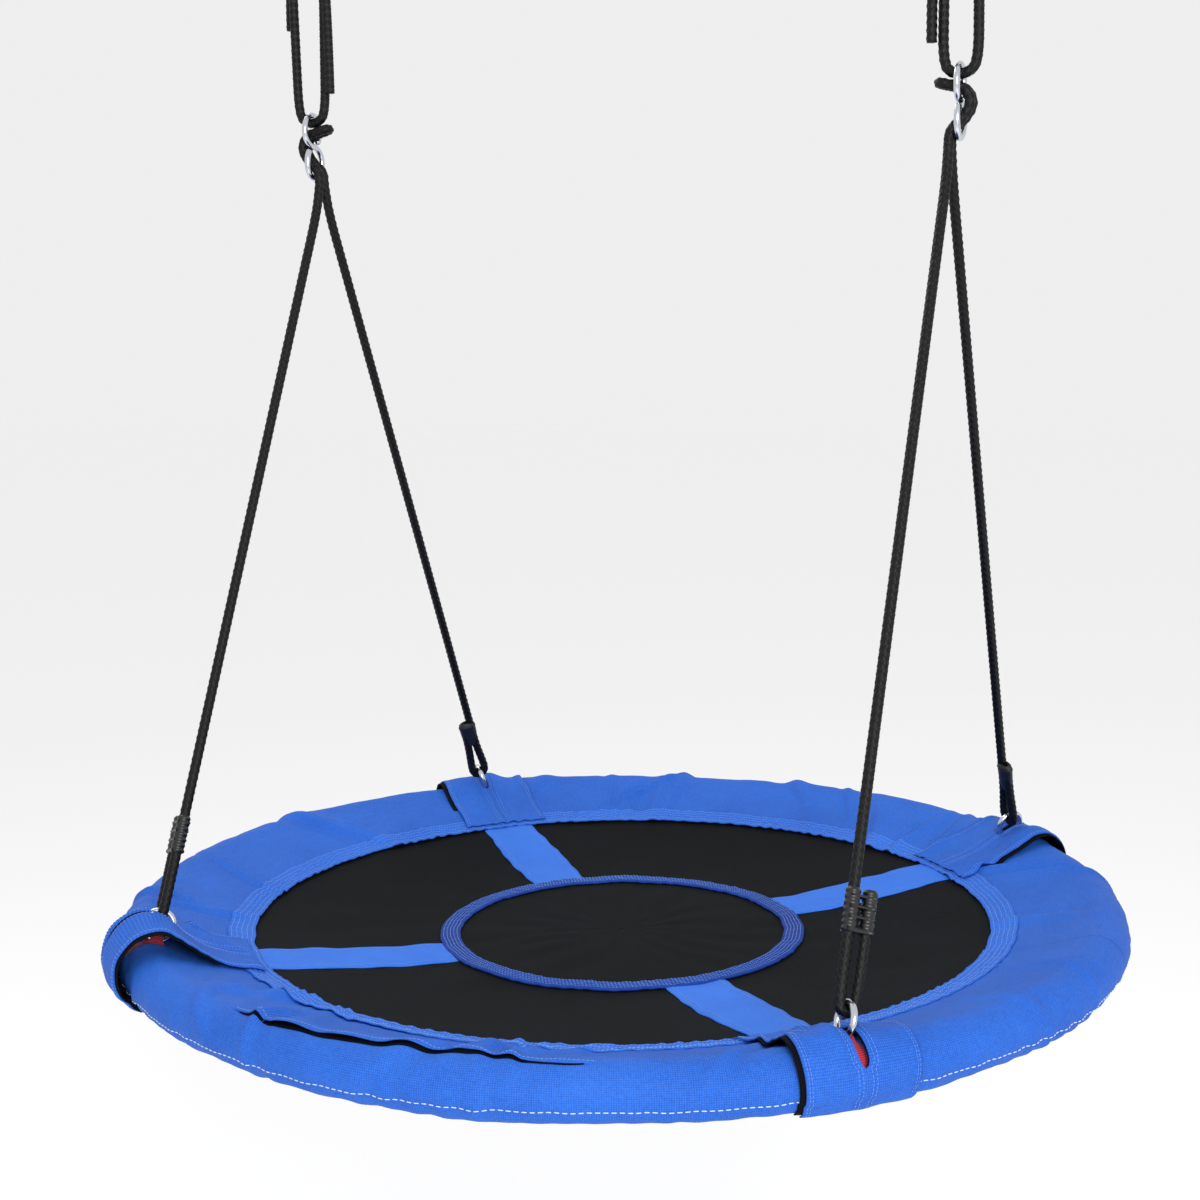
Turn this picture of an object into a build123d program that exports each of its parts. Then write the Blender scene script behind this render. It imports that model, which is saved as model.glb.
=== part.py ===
from build123d import *
import math
import os

# Saucer nest swing: a round padded seat hung from two braided ropes, each shaped as an upside-down V.
# Millimetres, +Z up, X left to right, Y front to back. The origin is the middle of the beam line from
# which the two hanging slings are held; everything else hangs below it.

# ---- driving dimensions -------------------------------------------------------------------------
SEAT_DIAMETER = 1000.0      # over the covered rim
HANG_DROP = 978.0           # beam line to the centre line of the steel rim
RING_SPREAD = 330.0         # steel rings, left or right and front or back of the middle
ROPE_DIAMETER = 9.0

COVER_RADIUS = 25.0         # covered rim, over the fabric
COVER_THICKNESS = 1.8
TUBE_RADIUS = 12.5          # steel rim tube
TUBE_WALL = 1.5
SPIGOT_LENGTH = 45.0        # swaged end of each rim tube, inside the next tube
SPIGOT_CLEARANCE = 0.2
FOAM_CLEARANCE = 0.3        # foam to tube
FOAM_COVER_GAP = 0.7        # foam to the inside of the cover
COVER_REACH = 126.0         # outside of the seat to the edge of its panel
PANEL_THICKNESS = 2.4
PANEL_EDGE_DROP = 7.0       # panel edge below the rim's centre line
PANEL_SAG = 18.0            # from the panel's edge to its centre ring
HEM_LAP = 5.0               # hem band over the edge of the panel
HEM_WIDTH = 26.0
HEM_TIP_RADIUS = 1.6        # rounded inner edge of the rim cover
HEM_SEAM_GAP = 1.0          # panel edge to the inner edge of the rim cover
TRIM_INNER_RADIUS = 166.0   # centre ring trim
TRIM_OUTER_RADIUS = 186.0
TRIM_THICKNESS = 1.5
STRAP_WIDTH = 62.0
LAYER_GAP = 0.3             # between stacked soft layers
TAB_WIDTH = 100.0
TAB_THICKNESS = 2.0
TAB_HEM_GAP = 6.0           # hem band to the start of a tab
TAB_LOW_ANGLE = -42.0       # where a tab ends, below the outer side of the rim
LINING_THICKNESS = 1.2
SLOT_WIDTH = 20.0
SLOT_LENGTH = 44.0

SLING_BAND_WIDTH = 28.0     # webbing sling round the steel tube
SLING_BAND_THICKNESS = 2.5
SLING_RISER_WIDTH = 16.0
SLING_RISER_DEPTH = 8.0
RING_HOLE_RADIUS = 6.0      # eye of the webbing sling, with clearance round the ring's wire
RING_RADIUS = 14.0          # steel ring, to the middle of its wire
RING_WIRE = 6.0
ROPE_RING_GAP = 0.2

HOOK_LOOP_RADIUS = 16.0     # each loop of the figure-eight hook, to the middle of its wire
HOOK_WIRE = 6.0
HOOK_SWEEP = 322.0          # degrees of arc in each loop
HOOK_DROP = 200.0           # beam line to the hook's middle
HOOK_OUTSET = 9.0           # hook's plane outside the plane of its two legs

ADJUSTER_HEIGHT = 100.0     # middle of the adjuster above the ring's lower wire, along the leg
ADJUSTER_LENGTH = 36.0
ADJUSTER_THICKNESS = 13.0
ADJUSTER_HOLE = 9.6
ADJUSTER_SIDE_WALL = 2.0
LADDER_WINDOWS = 3
LADDER_WINDOW_SIZE = (7.0, 5.0)
LADDER_PITCH = 8.5
SLEEVE_LENGTH = 30.0        # shrunk sleeve over the splice of a rear eye
SLEEVE_HEIGHT = 82.0        # middle of the sleeve above the ring's lower wire, along the leg
SLEEVE_WALL = 1.5
SPLICE_SPACING = 9.2        # between the two rope strands inside the sleeve
SCREW_SHANK = 4.2
SCREW_HEAD_DIAMETER = 9.0
SCREW_HEAD_HEIGHT = 2.6
SCREW_CLEARANCE = 0.2

# ---- worked-out dimensions ----------------------------------------------------------------------
RIM_RADIUS = SEAT_DIAMETER / 2 - COVER_RADIUS
FOAM_RADIUS = COVER_RADIUS - COVER_THICKNESS - FOAM_COVER_GAP
PANEL_RADIUS = SEAT_DIAMETER / 2 - COVER_REACH
HEM_INNER_RADIUS = PANEL_RADIUS - HEM_LAP
HEM_OUTER_RADIUS = HEM_INNER_RADIUS + HEM_WIDTH
TAB_INNER_RADIUS = HEM_OUTER_RADIUS + TAB_HEM_GAP
RIM_Z = -HANG_DROP
ROPE_RADIUS = ROPE_DIAMETER / 2
HOOK_Z = -HOOK_DROP
RING_TURN_RADIUS = RING_WIRE / 2 + ROPE_RADIUS + ROPE_RING_GAP
COVER_TIP_POSITION = PANEL_RADIUS + HEM_TIP_RADIUS + HEM_SEAM_GAP
SIDES = {"left": -1, "right": 1}
ENDS = {"front": -1, "rear": 1}

os.makedirs("parts", exist_ok=True)


def save(shape, name):
    export_step(shape, "parts/" + name + ".step")


def unit(vector):
    return vector.normalized()


# ---- shared shapes ------------------------------------------------------------------------------
def ring_of_revolution(face, start_angle, sweep_angle):
    """Turn an (r, z) face drawn on the XZ plane about the Z axis."""
    turned = revolve(face, Axis.Z, revolution_arc=sweep_angle)
    return Rot(0, 0, start_angle) * turned


def flat_face(points):
    """A face on the XZ plane through (r, z) corner points."""
    corners = [Vector(r, 0, z) for r, z in points]
    return make_face(Polyline(*corners, close=True))


def tangent_angle(big_radius, small_radius):
    """Angle, from straight up, of the line that touches the rim circle and the cover's inner tip."""
    tip_distance = RIM_RADIUS - COVER_TIP_POSITION
    tip_drop = PANEL_EDGE_DROP
    distance = math.hypot(tip_distance, tip_drop)
    lean = math.atan2(tip_drop, tip_distance)
    return math.asin((big_radius - small_radius) / distance) + lean


def rim_point(radius, angle_degrees):
    """A point on a circle about the rim's centre line; 0 is outward, 90 is up."""
    angle = math.radians(angle_degrees)
    return Vector(RIM_RADIUS + radius * math.cos(angle), 0, RIM_Z + radius * math.sin(angle))


def teardrop_face(big_radius, tip_radius, tip_shift):
    """Section of the rim cover: a circle round the rim, drawn in to a narrow tip at the seat panel."""
    tip = Vector(COVER_TIP_POSITION + tip_shift, 0, RIM_Z - PANEL_EDGE_DROP)
    centre = Vector(RIM_RADIUS, 0, RIM_Z)
    reach = centre - tip
    swing = math.asin((big_radius - tip_radius) / reach.length)
    heading = math.atan2(reach.Z, reach.X)
    up_angle = heading + math.pi / 2 + swing
    down_angle = heading - math.pi / 2 - swing

    def on(origin, radius, angle):
        return origin + Vector(radius * math.cos(angle), 0, radius * math.sin(angle))

    top_line = Line(on(tip, tip_radius, up_angle), on(centre, big_radius, up_angle))
    outer_arc = ThreePointArc(
        on(centre, big_radius, up_angle),
        on(centre, big_radius, heading),
        on(centre, big_radius, down_angle),
    )
    low_line = Line(on(centre, big_radius, down_angle), on(tip, tip_radius, down_angle))
    tip_arc = ThreePointArc(
        on(tip, tip_radius, down_angle),
        on(tip, tip_radius, heading + math.pi),
        on(tip, tip_radius, up_angle),
    )
    return make_face([top_line, outer_arc, low_line, tip_arc])


def slope_point(radius, height):
    """A point at a height above the upper slope of the rim cover."""
    angle = tangent_angle(COVER_RADIUS, HEM_TIP_RADIUS)
    top = COVER_RADIUS + height
    foot_r = RIM_RADIUS - top * math.sin(angle)
    foot_z = RIM_Z + top * math.cos(angle)
    return Vector(radius, 0, foot_z - (foot_r - radius) * math.tan(angle))


def over_rim_face(height, thickness):
    """Section of a flap that lies on the rim cover from the hem, over the rim and under its outer side."""
    angle = 90 + math.degrees(tangent_angle(COVER_RADIUS, HEM_TIP_RADIUS))
    middle = (angle + TAB_LOW_ANGLE) / 2
    low = COVER_RADIUS + height
    high = low + thickness
    inner_line = Line(slope_point(TAB_INNER_RADIUS, height), rim_point(low, angle))
    inner_arc = ThreePointArc(rim_point(low, angle), rim_point(low, middle), rim_point(low, TAB_LOW_ANGLE))
    end_line = Line(rim_point(low, TAB_LOW_ANGLE), rim_point(high, TAB_LOW_ANGLE))
    outer_arc = ThreePointArc(rim_point(high, TAB_LOW_ANGLE), rim_point(high, middle), rim_point(high, angle))
    outer_line = Line(rim_point(high, angle), slope_point(TAB_INNER_RADIUS, height + thickness))
    start_line = Line(slope_point(TAB_INNER_RADIUS, height + thickness), slope_point(TAB_INNER_RADIUS, height))
    return make_face([inner_line, inner_arc, end_line, outer_arc, outer_line, start_line])


def arc_radius(before, corner, after):
    """Largest comfortable bend at a corner of a rope's route."""
    incoming = corner - before
    outgoing = after - corner
    turn = math.radians(incoming.get_angle(outgoing))
    return 0.45 * min(incoming.length, outgoing.length) / math.tan(turn / 2)


def rope_tube(name, route, side, bends=None):
    """A rope along straight runs and tangent arcs; bends gives the radii where it goes round something."""
    points = [Vector(side * x, y, z) for x, y, z in route]
    if bends is None:
        corners = range(1, len(points) - 1)
        bends = [arc_radius(points[index - 1], points[index], points[index + 1]) for index in corners]
    path = FilletPolyline(*points, radius=bends)
    section = Plane(path @ 0, z_dir=path % 0) * Circle(ROPE_RADIUS)
    tube = sweep(section, path=path)
    ideal = math.pi * ROPE_RADIUS**2 * path.length
    print(name, "radii", [round(radius, 1) for radius in bends])
    print(name, "length", round(path.length, 1), "volume ratio", round(tube.volume / ideal, 5))
    return tube


# ---- rope routes, right-hand side; the left-hand side mirrors them ---------------------------------
# Points are x, y, z. Each half turn round a hook, ring or beam fitting has four points.
HANGING_SLING_ROUTE = [
    (313.7, -4.7, -148.0),
    (313.7, -4.7, -16.6),
    (325.8, -4.7, -4.5),
    (342.9, -4.7, -4.5),
    (355.0, -4.7, -16.6),
    (355.0, 0.0, -166.7),
    (345.6, 0.0, -176.1),
    (332.4, 0.0, -176.1),
    (323.0, 0.0, -166.7),
    (323.0, 4.7, -16.6),
    (335.1, 4.7, -4.5),
    (352.2, 4.7, -4.5),
    (364.3, 4.7, -16.6),
    (364.3, 4.7, -80.0),
]
HITCH_ROUTE = [
    (330.0, -4.7, -236.5),
    (331.0, -4.7, -225.0),
    (343.0, -4.7, -215.0),
    (350.5, -4.7, -202.0),
    (344.0, -4.7, -188.5),
    (331.0, -4.7, -186.0),
    (320.0, -4.7, -183.0),
    (320.0, 4.7, -183.0),
    (331.0, 4.7, -186.0),
    (344.0, 4.7, -188.5),
    (350.5, 4.7, -202.0),
    (343.0, 4.7, -215.0),
    (331.0, 4.7, -225.0),
    (330.0, 4.7, -236.5),
]
FRONT_LEG_ROUTE = [
    (330.0, -4.7, -239.5),
    (330.0, -12.0, -268.0),
    (324.5, -324.1, -929.3),
    (327.8, -323.3, -934.7),
    (332.5, -319.4, -936.6),
    (335.9, -314.8, -933.8),
    (336.6, -275.8, -851.3),
]
REAR_LEG_ROUTE = [
    (330.0, 4.7, -239.5),
    (330.0, 12.0, -268.0),
    (326.9, 305.2, -893.8),
    (324.5, 319.4, -919.2),
    (324.4, 324.1, -929.3),
    (327.7, 323.3, -934.7),
    (332.5, 319.5, -936.5),
    (335.8, 314.8, -933.8),
    (335.9, 310.1, -923.6),
    (333.7, 299.6, -896.5),
    (333.8, 287.8, -871.1),
]
SLING_TOP_BEND = 20.0       # bend of a sling over its beam fitting
SLING_HOOK_BEND = 15.5      # bend of a sling under the top of its hook
RING_BEND = 7.2             # bend of a leg round its steel ring
LEG_TOP_BEND = 60.0         # where a leg leaves the hitch
SPLICE_BEND = 40.0          # where the strands of an eye meet at the sleeve
EYE_BEND = 20.0             # where the strands of an eye spread round the ring
FRONT_TURN = (2, 3, 4, 5)   # points of the half turn round a steel ring
REAR_TURN = (4, 5, 6, 7)


def leg_frame(side, end):
    """Foot of a leg, its direction up the rope and the direction across the two strands at its ring."""
    route = FRONT_LEG_ROUTE if end == ENDS["front"] else REAR_LEG_ROUTE
    turn = FRONT_TURN if end == ENDS["front"] else REAR_TURN
    points = [Vector(side * x, y, z) for x, y, z in route]
    low = (points[turn[1]] + points[turn[2]]) * 0.5
    up = unit(points[1] - points[2])
    chord = points[turn[1]] - points[turn[2]]
    across = unit(chord - up * chord.dot(up))
    foot = low + up * (RING_TURN_RADIUS - 2 * RING_RADIUS)
    return foot, up, across


def leg_plane(side, end, height):
    """A plane square to a leg at a height up it, with X across the leg's two strands."""
    foot, up, across = leg_frame(side, end)
    return Plane(foot + up * height, x_dir=across, z_dir=up)


# ---- hanging slings -----------------------------------------------------------------------------
# A sling is one and a half turns of rope: through the hook's upper loop and twice over the beam fitting.
SLING_BENDS = [SLING_TOP_BEND] * 4 + [SLING_HOOK_BEND] * 4 + [SLING_TOP_BEND] * 4
for side_name, side in SIDES.items():
    name = "hanging_sling_" + side_name
    save(rope_tube(name, HANGING_SLING_ROUTE, side, SLING_BENDS), name)


# ---- figure-eight hooks and the rope hitched through them ---------------------------------------
def figure_eight_hook(side):
    """Two nearly closed loops of round wire, one above the other, in the fore-and-aft plane."""
    middle = side * (RING_SPREAD + HOOK_OUTSET)
    radius = HOOK_LOOP_RADIUS
    halves = []
    for way in (1, -1):
        centre = Vector(middle, 0, HOOK_Z + way * radius)
        plane = Plane(centre, x_dir=(0, 0, -way), z_dir=(1, 0, 0))
        arc = plane * CenterArc((0, 0), radius, 0, HOOK_SWEEP)
        section = Plane(arc @ 0, z_dir=arc % 0) * Circle(HOOK_WIRE / 2)
        halves.append(sweep(section, path=arc))
    return halves[0] + halves[1]


# The doubled middle of a leg rope goes up through the lower loop, out round the hook and in again.
for side_name, side in SIDES.items():
    save(figure_eight_hook(side), "figure_eight_hook_" + side_name)
    name = "hitch_rope_" + side_name
    save(rope_tube(name, HITCH_ROUTE, side), name)


# ---- rope legs ----------------------------------------------------------------------------------
def adjuster(side):
    """A moulded rope adjuster: two holes side by side, a ladder of windows and a stepped lower body."""
    turn = RING_TURN_RADIUS
    plane = leg_plane(side, ENDS["front"], ADJUSTER_HEIGHT)
    width = 2 * turn + ADJUSTER_HOLE + 2 * ADJUSTER_SIDE_WALL
    body = Box(width, ADJUSTER_THICKNESS, ADJUSTER_LENGTH)
    body = fillet(body.edges().filter_by(Axis.Z), radius=4.0)
    for strand in (-1, 1):
        body -= Pos(strand * turn, 0, 0) * Cylinder(ADJUSTER_HOLE / 2, ADJUSTER_LENGTH + 2)
    window_width, window_height = LADDER_WINDOW_SIZE
    bar_half = turn - ADJUSTER_HOLE / 2
    slot_width = min(window_width, 2 * bar_half - 1.6)
    for index in range(LADDER_WINDOWS):
        height = (index - (LADDER_WINDOWS - 1) / 2) * LADDER_PITCH
        body -= Pos(0, 0, height) * Box(slot_width, ADJUSTER_THICKNESS + 2, window_height)
    return plane * body


def splice_sleeve(side):
    """The smooth shrunk sleeve that closes a rear eye round both rope strands."""
    plane = leg_plane(side, ENDS["rear"], SLEEVE_HEIGHT)
    outer = SlotCenterToCenter(SPLICE_SPACING, ROPE_DIAMETER + 2 * SLEEVE_WALL + 0.4)
    inner = SlotCenterToCenter(SPLICE_SPACING, ROPE_DIAMETER + 0.4)
    body = extrude(outer - inner, amount=SLEEVE_LENGTH / 2, both=True)
    return plane * body


def steel_ring(side, end):
    """A welded round ring, standing in line with its leg."""
    foot, up, across = leg_frame(side, end)
    plane = Plane(foot + up * RING_RADIUS, x_dir=up, z_dir=across)
    return plane * Torus(RING_RADIUS, RING_WIRE / 2)


FRONT_BENDS = [LEG_TOP_BEND] + [RING_BEND] * 4
REAR_BENDS = [LEG_TOP_BEND, SPLICE_BEND, EYE_BEND] + [RING_BEND] * 4 + [EYE_BEND, SPLICE_BEND]
for side_name, side in SIDES.items():
    front_name = "leg_rope_front_" + side_name
    rear_name = "leg_rope_rear_" + side_name
    save(rope_tube(front_name, FRONT_LEG_ROUTE, side, FRONT_BENDS), front_name)
    save(rope_tube(rear_name, REAR_LEG_ROUTE, side, REAR_BENDS), rear_name)
    save(adjuster(side), "rope_adjuster_" + side_name)
    save(splice_sleeve(side), "splice_sleeve_" + side_name)
    for end_name, end in ENDS.items():
        save(steel_ring(side, end), "steel_ring_" + end_name + "_" + side_name)


# ---- steel rim ----------------------------------------------------------------------------------
def tube_ring(inner, outer, start_angle, sweep_angle):
    """Part of a round tube bent to the rim's circle."""
    plane = Plane((RIM_RADIUS, 0, RIM_Z), x_dir=(1, 0, 0), z_dir=(0, -1, 0))
    face = plane * (Circle(outer) - Circle(inner))
    return ring_of_revolution(face, start_angle, sweep_angle)


def screw_place(index):
    """Under the middle of the spigot that joins rim tubes; Z points up into the tube."""
    spigot_angle = math.degrees(SPIGOT_LENGTH / RIM_RADIUS)
    angle = 90 * (index + 1) + spigot_angle / 2
    return Rot(0, 0, angle) * Pos(RIM_RADIUS, 0, RIM_Z - TUBE_RADIUS)


def rim_tube(index):
    """A quarter of the steel rim, with a swaged spigot that fits inside the next quarter."""
    spigot_angle = math.degrees(SPIGOT_LENGTH / RIM_RADIUS)
    collar_angle = math.degrees(3.0 / RIM_RADIUS)
    bore = TUBE_RADIUS - TUBE_WALL
    spigot_outer = bore - SPIGOT_CLEARANCE
    spigot_inner = spigot_outer - TUBE_WALL
    start = 90 * index
    tube = tube_ring(bore, TUBE_RADIUS, start, 90)
    collar = tube_ring(spigot_inner, TUBE_RADIUS, start + 90 - collar_angle, collar_angle)
    spigot = tube_ring(spigot_inner, spigot_outer, start + 90, spigot_angle)
    hole = Cylinder(SCREW_SHANK / 2 + SCREW_CLEARANCE, 12)
    quarter = tube + collar + spigot
    quarter -= screw_place(index) * hole
    quarter -= screw_place(index - 1) * hole
    return quarter


def joint_screw():
    """A pan-head screw that pins a spigot from below, at the origin and pointing up."""
    shank = Cylinder(SCREW_SHANK / 2, 6.0, align=(Align.CENTER, Align.CENTER, Align.MIN))
    head = Cylinder(SCREW_HEAD_DIAMETER / 2, SCREW_HEAD_HEIGHT, align=(Align.CENTER, Align.CENTER, Align.MAX))
    return Pos(0, 0, -SCREW_CLEARANCE) * (shank + head)


def foam_pad(index):
    """A quarter of the foam round the rim, stopping short of the webbing slings at both ends."""
    gap_angle = math.degrees((SLING_BAND_WIDTH / 2 + 4.0) / RIM_RADIUS)
    start = 90 * index + 45 + gap_angle
    pad = tube_ring(TUBE_RADIUS + FOAM_CLEARANCE, FOAM_RADIUS, start, 90 - 2 * gap_angle)
    pocket = Cylinder(SCREW_HEAD_DIAMETER / 2 + 1.0, 2 * SCREW_HEAD_HEIGHT + 2.0)
    return pad - screw_place(index) * pocket


QUARTERS = ["rear_right", "rear_left", "front_left", "front_right"]
PADS = ["rear", "left", "front", "right"]
for index, quarter in enumerate(QUARTERS):
    save(rim_tube(index), "rim_tube_" + quarter)
for index, place in enumerate(PADS):
    save(foam_pad(index), "foam_pad_" + place)
save(Compound([screw_place(index) * joint_screw() for index in range(4)]), "rim_joint_screws")


# ---- fabric of the seat -------------------------------------------------------------------------
def panel_z(radius):
    """Height of the top of the seat panel: flat inside the centre ring, sloping up to its edge."""
    edge_z = RIM_Z - PANEL_EDGE_DROP
    reach = (PANEL_RADIUS - radius) / (PANEL_RADIUS - TRIM_INNER_RADIUS)
    return edge_z - PANEL_SAG * min(reach, 1.0)


def seat_panel():
    """One disc of cloth, sloping down from its edge to the centre ring and flat inside it."""
    corners = [0, TRIM_INNER_RADIUS, PANEL_RADIUS]
    top_line = [(r, panel_z(r)) for r in corners]
    low_line = [(r, z - PANEL_THICKNESS) for r, z in reversed(top_line)]
    return ring_of_revolution(flat_face(top_line + low_line), 0, 360)


def trim_sheet(inner, outer, gap, thickness):
    """A ring of trim lying on the seat panel."""
    low_line = [(inner, panel_z(inner) + gap), (outer, panel_z(outer) + gap)]
    top_line = [(r, z + thickness) for r, z in reversed(low_line)]
    return ring_of_revolution(flat_face(low_line + top_line), 0, 360)


def slot_cutter(corner_angle, width, length, depth):
    """The slot over a steel ring, through whatever lies on top of the rim."""
    ring_reach = RING_SPREAD * math.sqrt(2)
    cutter = Pos(ring_reach, 0, RIM_Z + TUBE_RADIUS + 2.0 + depth / 2) * Box(length, width, depth)
    return Rot(0, 0, corner_angle) * cutter


def rim_cover():
    """The padded cover over rim and foam, drawn in to the edge of the seat panel."""
    skin = teardrop_face(COVER_RADIUS, HEM_TIP_RADIUS, 0)
    hollow = teardrop_face(COVER_RADIUS - COVER_THICKNESS, 0.2, 8.0)
    cover = ring_of_revolution(skin - hollow, 0, 360)
    for corner in range(4):
        cover -= slot_cutter(45 + 90 * corner, SLOT_WIDTH, SLOT_LENGTH, 40.0)
    return cover


def hem_band():
    """The stitched band over the seam between seat panel and rim cover."""
    gap = LAYER_GAP
    kink = COVER_TIP_POSITION + 1.0
    low = [
        (HEM_INNER_RADIUS, panel_z(HEM_INNER_RADIUS) + gap),
        (kink, slope_point(kink, gap).Z),
        (HEM_OUTER_RADIUS, slope_point(HEM_OUTER_RADIUS, gap).Z),
    ]
    low[0] = (HEM_INNER_RADIUS, min(low[0][1], low[1][1]) + 0.4)  # clear of the straps' thickness
    top = [(r, z + TRIM_THICKNESS) for r, z in reversed(low)]
    return ring_of_revolution(flat_face(low + top), 0, 360)


def radial_strap(corner_angle):
    """A flat strap from the centre ring out to the hem, sewn on the seat panel."""
    sheet = trim_sheet(TRIM_OUTER_RADIUS + 1.0, HEM_INNER_RADIUS - 1.0, LAYER_GAP, TRIM_THICKNESS)
    reach = PANEL_RADIUS
    block = Pos(reach / 2, 0, RIM_Z) * Box(reach, STRAP_WIDTH, 100)
    return sheet & (Rot(0, 0, corner_angle) * block)


def flap(corner_angle, height, thickness, width):
    """A flap of fabric over the rim at one corner, with the slot for its steel ring."""
    half_angle = math.degrees(width / TAB_INNER_RADIUS)
    sheet = ring_of_revolution(over_rim_face(height, thickness), corner_angle - half_angle, 2 * half_angle)
    block = Rot(0, 0, corner_angle) * Pos(RIM_RADIUS, 0, RIM_Z) * Box(300, width, 200)
    return (sheet & block) - slot_cutter(corner_angle, SLOT_WIDTH, SLOT_LENGTH, 40.0)


def webbing_sling(side, end):
    """A webbing loop round the steel tube, with a stitched eye that holds the steel ring."""
    corner_angle = math.degrees(math.atan2(end, side))
    half_angle = math.degrees(SLING_BAND_WIDTH / 2 / RIM_RADIUS)
    inner = TUBE_RADIUS + FOAM_CLEARANCE
    outer = inner + SLING_BAND_THICKNESS
    band = tube_ring(inner, outer, corner_angle - half_angle, 2 * half_angle)
    foot, up, across = leg_frame(side, end)
    tube_centre = (Rot(0, 0, corner_angle) * Pos(RIM_RADIUS, 0, RIM_Z)).position
    rise = unit(foot - tube_centre)
    eye_top = (foot - tube_centre).length + RING_HOLE_RADIUS + 2.0
    outward = unit(Vector(tube_centre.X, tube_centre.Y, 0))
    sideways = unit(rise.cross(outward))
    plane = Plane(tube_centre, x_dir=sideways, z_dir=rise)
    riser = Pos(0, 0, inner + 0.5) * Box(
        SLING_RISER_WIDTH,
        SLING_RISER_DEPTH,
        eye_top - inner - 0.5,
        align=(Align.CENTER, Align.CENTER, Align.MIN),
    )
    wire_way = unit(across.cross(up))
    hole = Plane(foot, z_dir=wire_way) * Cylinder(RING_HOLE_RADIUS, 40)
    return band + plane * riser - hole


save(seat_panel(), "seat_panel")
save(trim_sheet(TRIM_INNER_RADIUS, TRIM_OUTER_RADIUS, LAYER_GAP, TRIM_THICKNESS), "centre_ring_trim")
save(rim_cover(), "rim_cover")
save(hem_band(), "hem_band")
lining_height = LAYER_GAP
tab_height = 2 * LAYER_GAP + LINING_THICKNESS
for side_name, side in SIDES.items():
    for end_name, end in ENDS.items():
        corner = math.degrees(math.atan2(end, side))
        where = end_name + "_" + side_name
        save(radial_strap(corner), "radial_strap_" + where)
        save(flap(corner, lining_height, LINING_THICKNESS, TAB_WIDTH - 4.0), "tab_lining_" + where)
        save(flap(corner, tab_height, TAB_THICKNESS, TAB_WIDTH), "corner_tab_" + where)
        save(webbing_sling(side, end), "webbing_sling_" + where)
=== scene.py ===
import math

import bmesh
import bpy
import numpy as np
from mathutils import Matrix, Vector


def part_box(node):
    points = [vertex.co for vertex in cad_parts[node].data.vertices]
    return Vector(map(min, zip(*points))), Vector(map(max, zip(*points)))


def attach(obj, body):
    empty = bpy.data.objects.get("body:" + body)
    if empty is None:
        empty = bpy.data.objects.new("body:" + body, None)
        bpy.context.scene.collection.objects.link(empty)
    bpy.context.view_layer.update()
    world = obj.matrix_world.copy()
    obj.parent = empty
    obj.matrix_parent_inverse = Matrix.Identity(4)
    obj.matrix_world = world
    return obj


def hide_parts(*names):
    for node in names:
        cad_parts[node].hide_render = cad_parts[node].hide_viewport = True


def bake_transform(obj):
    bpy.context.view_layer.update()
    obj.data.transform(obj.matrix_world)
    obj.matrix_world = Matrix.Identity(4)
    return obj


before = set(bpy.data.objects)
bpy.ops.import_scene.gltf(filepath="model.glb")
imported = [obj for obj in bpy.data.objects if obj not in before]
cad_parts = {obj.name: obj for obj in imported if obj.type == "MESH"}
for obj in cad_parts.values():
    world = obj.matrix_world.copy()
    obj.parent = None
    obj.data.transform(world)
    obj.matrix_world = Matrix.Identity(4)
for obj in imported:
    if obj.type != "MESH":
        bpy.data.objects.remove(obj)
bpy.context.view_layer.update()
scene = bpy.context.scene

# ---- camera -------------------------------------------------------------------------------------
# The seat is seen from in front and a little to the right, from about half a metre above its rim,
# through a lens a little longer than normal. The eye leans by less than a degree.
rim_low, rim_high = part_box("rim_cover")
RIM_Z = (rim_low[2] + rim_high[2]) / 2
eye = bpy.data.objects.new("eye", bpy.data.cameras.new("eye"))
scene.collection.objects.link(eye)
eye.data.sensor_width = 36.0
eye.data.lens = 54.351
eye.data.clip_start = 0.05
eye.data.clip_end = 60.0
eye.location = (0.7126, -1.6499, 0.5524 + RIM_Z)
eye.rotation_mode = "XYZ"
EYE_YAW, EYE_PITCH, EYE_ROLL = 23.927, -7.505, -0.808


def camera_turn(yaw, pitch, roll):
    """Looking along +Y at yaw 0; yaw turns to the left, pitch up, and roll about the line of sight."""
    turn = Matrix.Rotation(math.radians(yaw), 3, "Z")
    tilt = Matrix.Rotation(math.radians(90 + pitch), 3, "X")
    lean = Matrix.Rotation(math.radians(roll), 3, "Z")
    return (turn @ tilt @ lean).to_euler("XYZ")


eye.rotation_euler = camera_turn(EYE_YAW, EYE_PITCH, EYE_ROLL)
scene.camera = eye


# ---- ropes --------------------------------------------------------------------------------------
# Black 9 mm polyester rope, drawn with ten flat plaited strands. Each leg rope is one length: up the
# front leg, through the hook and down the rear leg. The slings above the hooks are the same rope.
def linear(code):
    """An sRGB hex colour as linear RGBA."""
    parts = [int(code[i:i + 2], 16) / 255 for i in (1, 3, 5)]
    light = tuple(part / 12.92 if part <= 0.04045 else ((part + 0.055) / 1.055) ** 2.4 for part in parts)
    return light + (1.0,)


def add(tree, kind, inputs=None, **settings):
    """Add a node, set its settings, then set or link each named or numbered input."""
    node = tree.nodes.new(kind)
    for key, value in settings.items():
        setattr(node, key, value)
    for key, value in (inputs or {}).items():
        if isinstance(value, bpy.types.NodeSocket):
            tree.links.new(value, node.inputs[key])
        else:
            node.inputs[key].default_value = value
    return node


def new_material(name):
    """An empty material with its tree and its output node."""
    material = bpy.data.materials.new(name)
    material.use_nodes = True
    material.node_tree.nodes.clear()
    return material, material.node_tree, material.node_tree.nodes.new("ShaderNodeOutputMaterial")


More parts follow.
